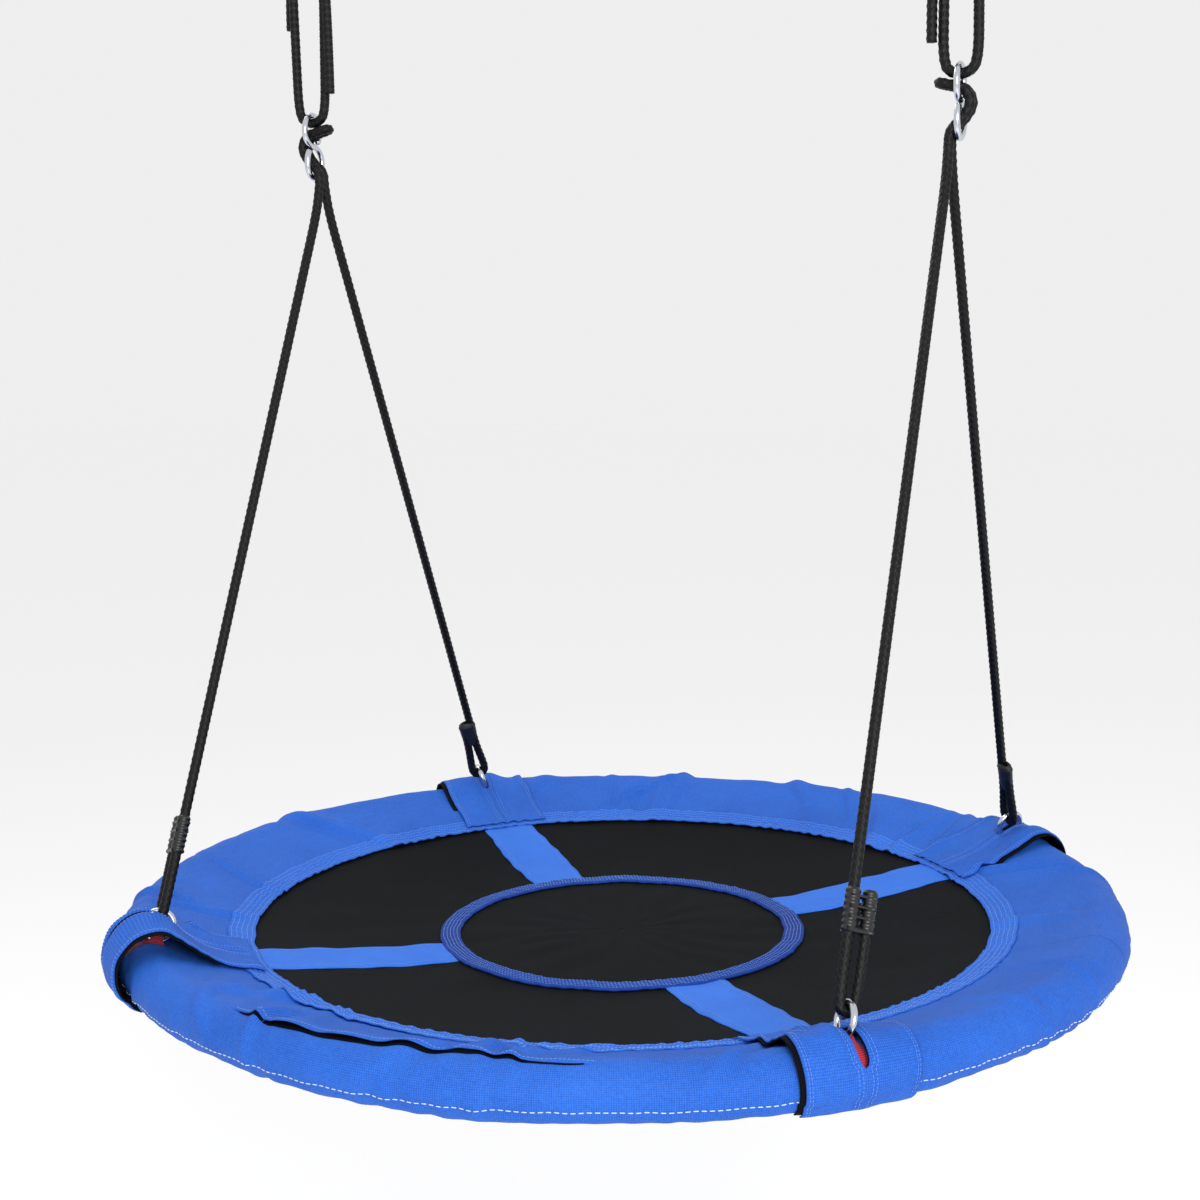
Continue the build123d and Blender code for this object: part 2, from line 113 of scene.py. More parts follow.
def mesh_object(name, points, faces, uvs=None, smooth=True):
    """A mesh object from points and faces, with UVs in metres given for each point."""
    mesh = bpy.data.meshes.new(name)
    mesh.from_pydata(np.asarray(points, float).reshape(-1, 3).tolist(), [], [list(face) for face in faces])
    if uvs is not None:
        layer = mesh.uv_layers.new(name="UVMap")
        corner = np.empty(len(mesh.loops), int)
        mesh.loops.foreach_get("vertex_index", corner)
        layer.data.foreach_set("uv", np.asarray(uvs, float).reshape(-1, 2)[corner].ravel())
    mesh.polygons.foreach_set("use_smooth", [smooth] * len(mesh.polygons))
    mesh.update()
    obj = bpy.data.objects.new(name, mesh)
    scene.collection.objects.link(obj)
    return obj


def grid_faces(rows, columns, wrap_rows=False, wrap_columns=False):
    """Quads of a rows by columns grid of points, optionally joined end to end."""
    row = np.arange(rows if wrap_rows else rows - 1)
    column = np.arange(columns if wrap_columns else columns - 1)
    row, column = np.meshgrid(row, column, indexing="ij")
    next_row, next_column = (row + 1) % rows, (column + 1) % columns
    near = [row * columns + column, next_row * columns + column]
    far = [next_row * columns + next_column, row * columns + next_column]
    return np.stack(near + far, -1).reshape(-1, 4)


def spline_points(name, route, spacing):
    """Even points along the smooth NURBS line whose control points are the route, in metres."""
    curve = bpy.data.curves.new(name, "CURVE")
    curve.dimensions = "3D"
    line = curve.splines.new("NURBS")
    line.points.add(len(route) - 1)
    line.points.foreach_set("co", np.c_[np.array(route), np.ones(len(route))].ravel())
    line.order_u = 3
    line.use_endpoint_u = True
    line.resolution_u = 24
    holder = bpy.data.objects.new(name, curve)
    scene.collection.objects.link(holder)
    mesh = bpy.data.meshes.new_from_object(holder)
    points = np.empty(len(mesh.vertices) * 3)
    mesh.vertices.foreach_get("co", points)
    points = points.reshape(-1, 3)
    bpy.data.objects.remove(holder)
    steps = np.r_[0, np.cumsum(np.linalg.norm(np.diff(points, axis=0), axis=1))]
    even = np.linspace(0, steps[-1], int(steps[-1] / spacing) + 2)
    return np.stack([np.interp(even, steps, points[:, k]) for k in range(3)], -1), steps[-1]


def carried_frames(points):
    """Two unit vectors across a path at each point, carried along it without twist."""
    along = np.gradient(points, axis=0)
    along /= np.linalg.norm(along, axis=1)[:, None]
    first = np.cross(along[0], (0.3, 0.2, 0.93))
    side = first / np.linalg.norm(first)
    sides = np.empty_like(points)
    for index, direction in enumerate(along):
        side = side - direction * side.dot(direction)
        side = side / np.linalg.norm(side)
        sides[index] = side
    return along, sides, np.cross(along, sides)


def tube_mesh(name, points, radius, around):
    """A round tube with closed ends along a path; radius is an array over path point and angle."""
    along, side, up = carried_frames(points)
    angle = np.linspace(0, 2 * np.pi, around, endpoint=False)
    radius = np.broadcast_to(np.asarray(radius, float), (len(points), around))
    ring = side[:, None] * np.cos(angle)[None, :, None] + up[:, None] * np.sin(angle)[None, :, None]
    shell = points[:, None] + ring * radius[..., None]
    length = np.r_[0, np.cumsum(np.linalg.norm(np.diff(points, axis=0), axis=1))]
    uv = np.stack(np.broadcast_arrays(length[:, None], angle[None] * radius.mean()), -1)
    faces = grid_faces(len(points), around, wrap_columns=True).tolist()
    faces.append(list(range(around)))
    faces.append(list(range(len(points) * around - 1, (len(points) - 1) * around - 1, -1)))
    return mesh_object(name, shell, [face[::-1] for face in faces], uv)


ROPE_DIAMETER = 0.009
STRAND_PAIRS = 5
STRAND_PITCH = 0.0070
CORE_SHARE = 0.91
STRAND_SHARE = 0.20


def plaited_rope(name, points, diameter):
    """A plaited rope: two families of flat strands wind opposite ways and pass over each other in turn.

    Round the rope and along it, each strand's height is a rounded bump; the family on top swaps in
    every second cell of the diamond pattern they make.
    """
    around = 36
    length = np.r_[0, np.cumsum(np.linalg.norm(np.diff(points, axis=0), axis=1))]
    angle = np.linspace(0, 2 * np.pi, around, endpoint=False)
    turn = STRAND_PAIRS * angle[None] / (2 * np.pi)
    left = turn + length[:, None] / STRAND_PITCH
    right = turn - length[:, None] / STRAND_PITCH
    left_on_top = (np.floor(left) + np.floor(right)) % 2 == 0
    across = np.where(left_on_top, left % 1, right % 1)
    forward = np.where(left_on_top, right % 1, left % 1)
    bump = np.sin(np.pi * across) ** 0.6 * (0.45 + 0.55 * np.sin(np.pi * forward))
    radius = diameter / 2 * (CORE_SHARE + STRAND_SHARE * bump)
    return tube_mesh(name, points, radius, around)


def mirrored(route, side):
    """The right-hand route, or its mirror image for the left-hand side."""
    return [(side * x, y, z) for x, y, z in route]


def rope_material():
    """Black polyester braid: dull, with a faint grey glint where filaments run over each other.

    The mottle of the filaments is drawn about 0.9 mm across, coarser than it is, so that it shows.
    """
    material, tree, output = new_material("black_polyester_braid")
    place = add(tree, "ShaderNodeTexCoord")
    here = place.outputs["Object"]
    fibre = add(tree, "ShaderNodeTexNoise", {"Vector": here, "Scale": 1100.0, "Detail": 2.0})
    spread = {"Value": fibre.outputs["Fac"], "From Min": 0.35, "From Max": 0.75}
    tone = add(tree, "ShaderNodeMapRange", spread)
    colours = {"Factor": tone.outputs["Result"], "A": linear("#020203"), "B": linear("#101012")}
    colour = add(tree, "ShaderNodeMix", colours, data_type="RGBA")
    bump = add(tree, "ShaderNodeBump", {"Height": fibre.outputs["Fac"], "Strength": 0.5, "Distance": 0.0004})
    shader = add(tree, "ShaderNodeBsdfPrincipled", {
        "Base Color": colour.outputs["Result"],
        "Roughness": 0.5,
        "Specular IOR Level": 0.22,
        "Normal": bump.outputs["Normal"],
    })
    tree.links.new(shader.outputs["BSDF"], output.inputs["Surface"])
    return material


POINT_SPACING = 0.0011
HANGING_SLING_ROUTE = [
    (0.3137, -0.0047, -0.1480),
    (0.3137, -0.0047, -0.0166),
    (0.3258, -0.0047, -0.0045),
    (0.3429, -0.0047, -0.0045),
    (0.3550, -0.0047, -0.0166),
    (0.3550, -0.0017, -0.1127),
    (0.3550, 0.0000, -0.1667),
    (0.3456, 0.0000, -0.1761),
    (0.3324, 0.0000, -0.1761),
    (0.3230, 0.0000, -0.1667),
    (0.3230, 0.0017, -0.1127),
    (0.3230, 0.0047, -0.0166),
    (0.3351, 0.0047, -0.0045),
    (0.3522, 0.0047, -0.0045),
    (0.3643, 0.0047, -0.0166),
    (0.3643, 0.0047, -0.0800),
]
HITCH_ROUTE = [
    (0.3300, -0.0047, -0.2365),
    (0.3310, -0.0047, -0.2250),
    (0.3430, -0.0047, -0.2150),
    (0.3505, -0.0047, -0.2020),
    (0.3440, -0.0047, -0.1885),
    (0.3310, -0.0047, -0.1860),
    (0.3200, -0.0047, -0.1830),
    (0.3200, 0.0047, -0.1830),
    (0.3310, 0.0047, -0.1860),
    (0.3440, 0.0047, -0.1885),
    (0.3505, 0.0047, -0.2020),
    (0.3430, 0.0047, -0.2150),
    (0.3310, 0.0047, -0.2250),
    (0.3300, 0.0047, -0.2365),
]
FRONT_LEG_ROUTE = [
    (0.3300, -0.0047, -0.2395),
    (0.3300, -0.0120, -0.2680),
    (0.3296, -0.0350, -0.3168),
    (0.3249, -0.3011, -0.8805),
    (0.3245, -0.3241, -0.9293),
    (0.3278, -0.3233, -0.9347),
    (0.3325, -0.3194, -0.9366),
    (0.3359, -0.3148, -0.9338),
    (0.3366, -0.2758, -0.8513),
]
REAR_LEG_ROUTE = [
    (0.3300, 0.0047, -0.2395),
    (0.3300, 0.0120, -0.2680),
    (0.3298, 0.0349, -0.3169),
    (0.3271, 0.2823, -0.8449),
    (0.3269, 0.3052, -0.8938),
    (0.3245, 0.3194, -0.9192),
    (0.3244, 0.3241, -0.9293),
    (0.3277, 0.3233, -0.9347),
    (0.3325, 0.3195, -0.9365),
    (0.3358, 0.3148, -0.9338),
    (0.3359, 0.3101, -0.9236),
    (0.3337, 0.2996, -0.8965),
    (0.3338, 0.2878, -0.8711),
]
SIDES = {"left": -1, "right": 1}
ENDS = {"front": -1, "rear": 1}
braid = rope_material()
for side_name, side in SIDES.items():
    points, length = spline_points("sling_line", mirrored(HANGING_SLING_ROUTE, side), POINT_SPACING)
    sling = plaited_rope("sling_rope_" + side_name, points, ROPE_DIAMETER)
    sling.data.materials.append(braid)
    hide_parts("hanging_sling_" + side_name)
    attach(sling, "hangers")
    print("sling length", side_name, round(length, 3))

    whole = FRONT_LEG_ROUTE[::-1] + HITCH_ROUTE + REAR_LEG_ROUTE
    points, length = spline_points("leg_line", mirrored(whole, side), POINT_SPACING)
    rope = plaited_rope("leg_rope_" + side_name, points, ROPE_DIAMETER)
    rope.data.materials.append(braid)
    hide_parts("leg_rope_front_" + side_name, "hitch_rope_" + side_name, "leg_rope_rear_" + side_name)
    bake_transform(rope)
    print("leg rope length", side_name, round(length, 3))


# ---- figure-eight hooks and steel rings ---------------------------------------------------------
# Closed hooks bent from 6 mm bright zinc-plated wire, and welded rings of the same wire. A hook hangs in
# its sling and the leg rope runs through both its loops; a ring joins a rope eye to the webbing.
WIRE_RADIUS = 0.003
HOOK_LOOP_RADIUS = 0.016
RING_RADIUS = 0.014
EYE_TO_TOP_WIRE = 0.0077


def steel_material():
    """Bright zinc plate on drawn wire: mirror-like with faint drawing marks."""
    material, tree, output = new_material("bright_zinc_wire")
    place = add(tree, "ShaderNodeTexCoord")
    here = place.outputs["Object"]
    marks = add(tree, "ShaderNodeTexNoise", {"Vector": here, "Scale": 260.0, "Detail": 3.0})
    rough = add(tree, "ShaderNodeMapRange", {"Value": marks.outputs["Fac"], "To Min": 0.14, "To Max": 0.30})
    shader = add(tree, "ShaderNodeBsdfPrincipled", {
        "Base Color": linear("#c9ccd2"),
        "Metallic": 1.0,
        "Roughness": rough.outputs["Result"],
    })
    tree.links.new(shader.outputs["BSDF"], output.inputs["Surface"])
    return material


def hook_line(side):
    """Two nearly closed circles, one above the other, run through as one S in the fore-and-aft plane."""
    low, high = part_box("figure_eight_hook_" + ("right" if side > 0 else "left"))
    middle = (np.array(low) + np.array(high)) / 2
    sweep = np.radians(np.linspace(322, 0, 150))
    narrow = 0.86 + 0.14 * np.cos(sweep / 2)
    ahead = -np.sin(sweep) * HOOK_LOOP_RADIUS * narrow
    height = HOOK_LOOP_RADIUS - np.cos(sweep) * HOOK_LOOP_RADIUS
    upper = np.stack([np.zeros(len(sweep)), ahead, height], -1)
    lower = -upper[::-1][1:]
    return middle + np.concatenate([upper, lower])


def hook_wire(count):
    """Radius of the hook's wire at each point of its line, rounded off over the last few at each end."""
    to_end = np.minimum(np.arange(count), np.arange(count)[::-1])
    return WIRE_RADIUS * np.minimum(1, np.sqrt(np.clip(to_end / 4 + 0.08, 0, 1)))[:, None]


def leg_axes(side, end):
    """Foot of a leg at its ring's lower wire, the way up the rope and the way across its two strands."""
    route = FRONT_LEG_ROUTE if end < 0 else REAR_LEG_ROUTE
    first = 5 if end < 0 else 7
    points = np.array(mirrored(route, side))
    low = (points[first] + points[first + 1]) / 2
    up = points[1] - points[4]
    up /= np.linalg.norm(up)
    across = points[first] - points[first + 1]
    across = across - up * across.dot(up)
    across /= np.linalg.norm(across)
    return low + up * (EYE_TO_TOP_WIRE - 2 * RING_RADIUS), up, across


def ring_mesh(name, foot, up, across):
    """A torus standing on its foot: a circle of wire circles, in the plane across the rope's two strands."""
    sideways = np.cross(across, up)
    turn = np.linspace(0, 2 * np.pi, 97)[:-1]
    wire = np.linspace(0, 2 * np.pi, 24, endpoint=False)
    outward = np.cos(turn)[:, None] * up + np.sin(turn)[:, None] * sideways
    circle = foot + up * RING_RADIUS + RING_RADIUS * outward
    around = np.cos(wire)[None, :, None] * outward[:, None] + np.sin(wire)[None, :, None] * across
    return mesh_object(name, circle[:, None] + WIRE_RADIUS * around, grid_faces(96, 24, True, True))


steel = steel_material()
for side_name, side in SIDES.items():
    line = hook_line(side)
    hook = tube_mesh("hook_" + side_name, line, hook_wire(len(line)), 24)
    hook.data.materials.append(steel)
    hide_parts("figure_eight_hook_" + side_name)
    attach(hook, "hook_" + side_name)
    for end_name, end in ENDS.items():
        where = end_name + "_" + side_name
        ring = ring_mesh("ring_" + where, *leg_axes(side, end))
        ring.data.materials.append(steel)
        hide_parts("steel_ring_" + where)
        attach(ring, "ring_" + where)


# ---- rope adjusters and splice sleeves ----------------------------------------------------------
# Adjusters are injection-moulded nylon: two ribbed barrels joined by a ladder of bars. The rear eyes
# are closed by a smooth shrunk sleeve. Heights here are above the lower wire of the ring.
ADJUSTER_HEIGHT = 0.100
ADJUSTER_HALF_LENGTH = 0.018
STRAND_HALF_SPREAD = 0.0077
BARREL_BORE = 0.0049
BARREL_RADIUS = 0.0065
SLEEVE_HEIGHT = 0.082


def moulding_material(name, code, rough):
    """Moulded black nylon: satin, with a very fine spark-eroded grain."""
    material, tree, output = new_material(name)
    place = add(tree, "ShaderNodeTexCoord")
    here = place.outputs["Object"]
    grain = add(tree, "ShaderNodeTexNoise", {"Vector": here, "Scale": 1400.0, "Detail": 2.0})
    bump = add(tree, "ShaderNodeBump", {"Height": grain.outputs["Fac"], "Strength": 0.25, "Distance": 0.0002})
    shader = add(tree, "ShaderNodeBsdfPrincipled", {
        "Base Color": linear(code),
        "Roughness": rough,
        "IOR": 1.53,
        "Normal": bump.outputs["Normal"],
    })
    tree.links.new(shader.outputs["BSDF"], output.inputs["Surface"])
    return material


def barrel_shell(centre, up, across, depth):
    """A ribbed tube: an outline of heights and radii turned about up, closed through its bore."""
    height = np.linspace(-1, 1, 61)
    wave = 0.5 + 0.5 * np.cos(height * np.pi * 3.5 * 2)
    radius = BARREL_RADIUS * (0.90 + 0.10 * wave) - 0.0012 * np.abs(height) ** 12
    radius = np.r_[BARREL_BORE, radius, BARREL_BORE]
    level = np.r_[-1, height, 1] * ADJUSTER_HALF_LENGTH
    turn = np.linspace(0, 2 * np.pi, 32, endpoint=False)
    way = np.cos(turn)[None, :, None] * across + np.sin(turn)[None, :, None] * depth
    return centre + up * level[:, None, None] + way * radius[:, None, None]


def bar_shell(centre, up, across, depth, tall):
    """A ladder bar: a rounded rectangle, whose cosine and sine are square-rooted, drawn out across."""
    turn = np.linspace(0, 2 * np.pi, 24, endpoint=False)
    deep = np.sign(np.cos(turn)) * np.abs(np.cos(turn)) ** 0.5 * 0.0062
    high = np.sign(np.sin(turn)) * np.abs(np.sin(turn)) ** 0.5 * tall / 2
    reach = np.linspace(-0.0118, 0.0118, 5)
    return centre + across * reach[:, None, None] + depth * deep[None, :, None] + up * high[None, :, None]


def adjuster(side, name):
    """Two ribbed barrels and four ladder bars between them, with a thicker foot."""
    foot, up, across = leg_axes(side, -1)
    depth = np.cross(up, across)
    centre = foot + up * ADJUSTER_HEIGHT
    points, faces = [], []
    for strand in (-1, 1):
        start = sum(len(part) for part in points)
        shell = barrel_shell(centre + across * strand * STRAND_HALF_SPREAD, up, across, depth)
        points.append(shell.reshape(-1, 3))
        faces += (grid_faces(63, 32, True, True) + start)[:, ::-1].tolist()
    for level in (-0.0158, -0.0055, 0.003, 0.0115):
        start = sum(len(part) for part in points)
        bar = bar_shell(centre + up * level, up, across, depth, 0.0042 if level < -0.01 else 0.0028)
        points.append(bar.reshape(-1, 3))
        faces += (grid_faces(5, 24, False, True) + start).tolist()
        faces.append([start + k for k in range(24)][::-1])
        faces.append([start + 96 + k for k in range(24)])
    return mesh_object(name, np.concatenate(points), faces)


def sleeve(side, name):
    """A barrel with an oval section: widest at a ridge near its top and drawn in below."""
    foot, up, across = leg_axes(side, 1)
    depth = np.cross(up, across)
    level = np.array([-16.5, -16, -14, -8, 0, 7, 10, 11, 12, 15, 16, 16.4]) / 1000
    wide = np.array([6.4, 7.4, 8.2, 9.2, 9.9, 10.2, 10.4, 10.9, 10.3, 9.4, 8.2, 6.0]) / 1000
    thick = np.array([3.6, 4.6, 5.0, 5.5, 5.9, 6.1, 6.2, 6.7, 6.1, 5.6, 4.9, 3.6]) / 1000
    turn = np.linspace(0, 2 * np.pi, 40, endpoint=False)
    shell = foot + up * (SLEEVE_HEIGHT + level)[:, None, None]
    shell = shell + across * (wide[:, None] * np.cos(turn))[..., None]
    shell = shell + depth * (thick[:, None] * np.sin(turn))[..., None]
    faces = grid_faces(len(level), 40, False, True)[:, ::-1].tolist()
    faces.append(list(range(40)))
    faces.append(list(range(len(level) * 40 - 1, (len(level) - 1) * 40 - 1, -1)))
    return mesh_object(name, shell, faces)


nylon = moulding_material("moulded_black_nylon", "#08080a", 0.40)
shrink = moulding_material("black_shrink_sleeve", "#060606", 0.55)
for side_name, side in SIDES.items():
    block = adjuster(side, "adjuster_" + side_name)
    block.data.materials.append(nylon)
    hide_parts("rope_adjuster_" + side_name)
    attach(block, "adjuster_" + side_name)
    cap = sleeve(side, "sleeve_" + side_name)
    cap.data.materials.append(shrink)
    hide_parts("splice_sleeve_" + side_name)
    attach(cap, "ropes_" + side_name)


# ---- rim cover ----------------------------------------------------------------------------------
# A padded sleeve of blue 600-denier Oxford cloth over the foam and the steel rim. It is sewn to the
# seat panel at the hem, runs flat up to the rim and is closed by a seam low on its outer side.
RIM_RADIUS = 0.475
COVER_RADIUS = 0.025
HEM_RADIUS = 0.376
HEM_DROP = 0.007
HEM_HALF_THICK = 0.0015
SEAM_SHARE = 0.66
CORNERS = {"front_left": 225, "rear_left": 135, "front_right": 315, "rear_right": 45}


def ripple(angle, across, seed, terms, low, high, drift=3.0):
    """A smooth random wave round the seat: a sum of sines with whole numbers of waves per turn."""
    dice = np.random.default_rng(seed)
    total = np.zeros(np.broadcast(angle, across).shape)
    for _ in range(terms):
        waves = dice.integers(low, high)
        phase = dice.uniform(0, 2 * np.pi)
        lean = dice.uniform(-drift, drift)
        total = total + dice.uniform(0.5, 1.0) * np.sin(waves * angle + lean * across + phase)
    return total / math.sqrt(terms)


def angle_gap(angle, centre):
    """Signed smallest difference between angles in radians."""
    return (angle - centre + np.pi) % (2 * np.pi) - np.pi


def cover_section(count):
    """The cover's section: straight from the hem's top to the rim, round the rim, and straight back below.

    The straights are the tangents shared by the rim's circle and a small circle at the hem. Gives the
    distances along it, its places and outward ways, and the lengths of one straight and of the arc.
    """
    reach = RIM_RADIUS - HEM_RADIUS - HEM_HALF_THICK
    length = math.hypot(reach, HEM_DROP)
    heading = math.atan2(HEM_DROP, reach)
    lean = math.asin((COVER_RADIUS - HEM_HALF_THICK) / length)
    start, stop = heading + math.pi / 2 + lean, heading - math.pi / 2 - lean
    line = math.sqrt(length**2 - (COVER_RADIUS - HEM_HALF_THICK) ** 2)
    arc = COVER_RADIUS * (start - stop)
    distance = np.linspace(0, 2 * line + arc, count)
    tip = np.array([HEM_RADIUS + HEM_HALF_THICK, -HEM_DROP])
    centre = np.array([RIM_RADIUS, 0.0])
    up_way = np.array([math.cos(start), math.sin(start)])
    low_way = np.array([math.cos(stop), math.sin(stop)])
    top_start, top_end = tip + HEM_HALF_THICK * up_way, centre + COVER_RADIUS * up_way
    low_start, low_end = centre + COVER_RADIUS * low_way, tip + HEM_HALF_THICK * low_way
    turn = start - (distance - line) / COVER_RADIUS
    round_way = np.stack([np.cos(turn), np.sin(turn)], -1)
    on_top = top_start + (distance[:, None] / line) * (top_end - top_start)
    on_arc = centre + COVER_RADIUS * round_way
    on_low = low_start + (distance - line - arc)[:, None] / line * (low_end - low_start)
    first, last = (distance < line)[:, None], (distance > line + arc)[:, None]
    place = np.where(first, on_top, np.where(last, on_low, on_arc))
    normal = np.where(first, up_way, np.where(last, low_way, round_way))
    return distance, place, normal, line, arc


def cover_folds(angle, distance, line):
    """Folds that fan out of the corners: each is a ridge with a trough beside it along a slanting line."""
    folds = np.zeros(np.broadcast(angle, distance).shape)
    dice = np.random.default_rng(12)
    for corner in CORNERS.values():
        for _ in range(11):
            offset = math.radians(dice.uniform(-36, 36))
            slant = dice.uniform(-1.6, 1.6) + np.sign(offset) * 0.9
            centre = math.radians(corner) + offset + slant * (distance - line * 0.5)
            width = math.radians(dice.uniform(0.6, 1.8))
            reach = np.exp(-((distance - dice.uniform(0.3, 1.05) * line) / (0.55 * line)) ** 2)
            gap = angle_gap(angle, centre) / width
            ridge = np.exp(-gap**2) - 0.7 * np.exp(-(gap - 1.3) ** 2)
            folds = folds + dice.uniform(0.0030, 0.0060) * reach * ridge
    return folds


def cover_height(angle, distance, line, arc):
    """How far the cloth stands off its plain shape: the sum of billows, folds, puckers, seam and pockets.

    Billows fade to nothing at the hem, puckers run out of the hem's stitching, the seam is a groove
    between gathers, and a pocket at each corner makes room for the webbing and its ring.
    """
    rise = np.sin(np.pi * np.clip(distance / (2 * line + arc), 0, 1))
    soft = 0.0011 * ripple(angle, distance * 20, 3, 7, 6, 22)
    fine = 0.00045 * ripple(angle, distance * 60, 5, 9, 30, 90, 8.0)
    near_hem = np.exp(-(distance / 0.022) ** 2)
    pucker = 0.0009 * near_hem * ripple(angle, distance * 40, 9, 8, 90, 190, 5.0)
    folds = cover_folds(angle, distance, line)
    pocket = np.zeros(folds.shape)
    for corner in CORNERS.values():
        across = angle_gap(angle, math.radians(corner)) * RIM_RADIUS / 0.008
        pocket = pocket - 0.0050 * np.exp(-(across**4) - ((distance - line - 0.010) / 0.026) ** 4)
    from_seam = distance - (line + arc * SEAM_SHARE)
    gather = 0.0008 * np.exp(-(from_seam / 0.02) ** 2) * ripple(angle, distance * 10, 21, 8, 60, 140)
    seam = -0.0014 * np.exp(-(from_seam / 0.003) ** 2) + gather
    return np.maximum((soft + fine) * rise + pucker + folds + seam, -0.0016) + pocket


def cover_point(angle, distance, lift=0.0, pockets=True):
    """Points on the finished cover at angles (radians) and distances along its section (metres)."""
    known, place, normal, line, arc = cover_section(400)
    angle, distance = np.broadcast_arrays(np.asarray(angle, float), np.asarray(distance, float))
    height = cover_height(angle, distance, line, arc)
    if not pockets:
        height = np.maximum(height, -0.002)
    height = height + lift
    radius = np.interp(distance, known, place[:, 0]) + np.interp(distance, known, normal[:, 0]) * height
    level = np.interp(distance, known, place[:, 1]) + np.interp(distance, known, normal[:, 1]) * height
    return np.stack([radius * np.cos(angle), radius * np.sin(angle), level + RIM_Z], -1)


def oxford_cloth(name, code, shade, thread=0.0018, gloss=0.18):
    """Coated Oxford cloth: a plain weave with a faint sheen and slow changes of tone.

    The real threads lie about 0.6 mm apart; they are drawn 1.6 or 1.8 mm apart so that the weave shows.
    """
    material, tree, output = new_material(name)
    place = add(tree, "ShaderNodeTexCoord")
    # A wave's bands lie pi/10 over its scale apart.
    bands = {
        "Vector": place.outputs["UV"],
        "Scale": math.pi / 10 / thread,
        "Distortion": 0.3,
        "Detail": 1.0,
        "Detail Scale": 20.0,
    }
    warp = add(tree, "ShaderNodeTexWave", bands, bands_direction="X")
    weft = add(tree, "ShaderNodeTexWave", bands, bands_direction="Y")
    threads = {0: warp.outputs["Fac"], 1: weft.outputs["Fac"]}
    weave = add(tree, "ShaderNodeMath", threads, operation="MULTIPLY")
    here = place.outputs["Object"]
    cloud = add(tree, "ShaderNodeTexNoise", {"Vector": here, "Scale": 9.0, "Detail": 4.0, "Roughness": 0.6})
    speck = add(tree, "ShaderNodeTexNoise", {"Vector": here, "Scale": 420.0, "Detail": 2.0})
    weave_height = weave.outputs["Value"]
    clouded = add(tree, "ShaderNodeMath", {0: weave_height, 1: cloud.outputs["Fac"]}, operation="ADD")
    total = add(tree, "ShaderNodeMath", {0: clouded.outputs["Value"], 1: speck.outputs["Fac"]}, operation="ADD")
    spread = {"Value": total.outputs["Value"], "From Min": 0.85, "From Max": 1.7}
    tone = add(tree, "ShaderNodeMapRange", spread)
    colours = {"Factor": tone.outputs["Result"], "A": linear(shade), "B": linear(code)}
    colour = add(tree, "ShaderNodeMix", colours, data_type="RGBA")
    bump = add(tree, "ShaderNodeBump", {"Height": weave_height, "Strength": 0.8, "Distance": 0.0003})
    shader = add(tree, "ShaderNodeBsdfPrincipled", {
        "Base Color": colour.outputs["Result"],
        "Roughness": 0.66,
        "Specular IOR Level": gloss,
        "Normal": bump.outputs["Normal"],
    })
    tree.links.new(shader.outputs["BSDF"], output.inputs["Surface"])
    return material


strap_cloth = oxford_cloth("strap_oxford_cloth", "#3a7be2", "#2a65cc")
blue_cloth = oxford_cloth("blue_oxford_cloth", "#2e6bd0", "#1e50ac")
columns, rows = 900, 88
section_line, _, _, top_line, rim_arc = cover_section(rows)
angle_line = np.linspace(0, 2 * np.pi, columns, endpoint=False)
angles, distances = np.meshgrid(angle_line, section_line, indexing="ij")
uv = np.stack([angles * RIM_RADIUS, distances], -1)
faces = grid_faces(columns, rows, True, True)[:, ::-1]
cover = mesh_object("rim_sleeve", cover_point(angles, distances), faces, uv)
cover.data.materials.append(blue_cloth)
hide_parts("rim_cover")
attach(cover, "seat")


# ---- seat panel ---------------------------------------------------------------------------------
# One disc of black woven cloth, pulled tight by the rim and sagging a little to its middle.
PANEL_RADIUS = 0.376
PANEL_THICK = 0.0016
PANEL_SAG = 0.018
TRIM_RADIUS = 0.166


def panel_height(radius, angle):
    """Top of the seat panel: it falls along a quarter sine from the hem to the centre ring, is flat inside
    it, and dips a little between the straps.
    """
    reach = np.clip((PANEL_RADIUS - radius) / (PANEL_RADIUS - TRIM_RADIUS), 0, None)
    drop = PANEL_SAG * np.where(reach < 1, np.sin(np.clip(reach, 0, 1) * np.pi / 2) ** 1.15, 1.0)
    between = 0.5 - 0.5 * np.cos(4 * (angle - np.pi / 4))
    dip = 0.0018 * between * np.sin(np.pi * np.clip(reach, 0, 1))
    ease = 0.0005 * ripple(angle, radius * 20, 31, 6, 5, 24) * np.clip(radius / 0.1, 0, 1)
    return RIM_Z - HEM_DROP - drop - dip + ease


def on_panel(radius, angle, lift=0.0):
    """Points a given height above the panel's top."""
    return np.stack([radius * np.cos(angle), radius * np.sin(angle), panel_height(radius, angle) + lift], -1)


def flat_solid(name, top, low, uv, wrap=False):
    """A closed sheet from its top and bottom grids of points, rows by columns."""
    rows, columns = top.shape[:2]
    count = rows * columns
    faces = grid_faces(rows, columns, wrap_columns=wrap)
    index = np.arange(count).reshape(rows, columns)
    if wrap:
        index = np.c_[index, index[:, :1]]
    edges = [index[0, ::-1], index[-1]]
    if not wrap:
        edges += [index[:, 0], index[::-1, -1]]
    walls = [np.stack([e[:-1] + count, e[1:] + count, e[1:], e[:-1]], -1) for e in edges]
    points = np.concatenate([top.reshape(-1, 3), low.reshape(-1, 3)])
    both = np.tile(uv.reshape(-1, 2), (2, 1))
    return mesh_object(name, points, np.concatenate([faces, faces[:, ::-1] + count] + walls), both)


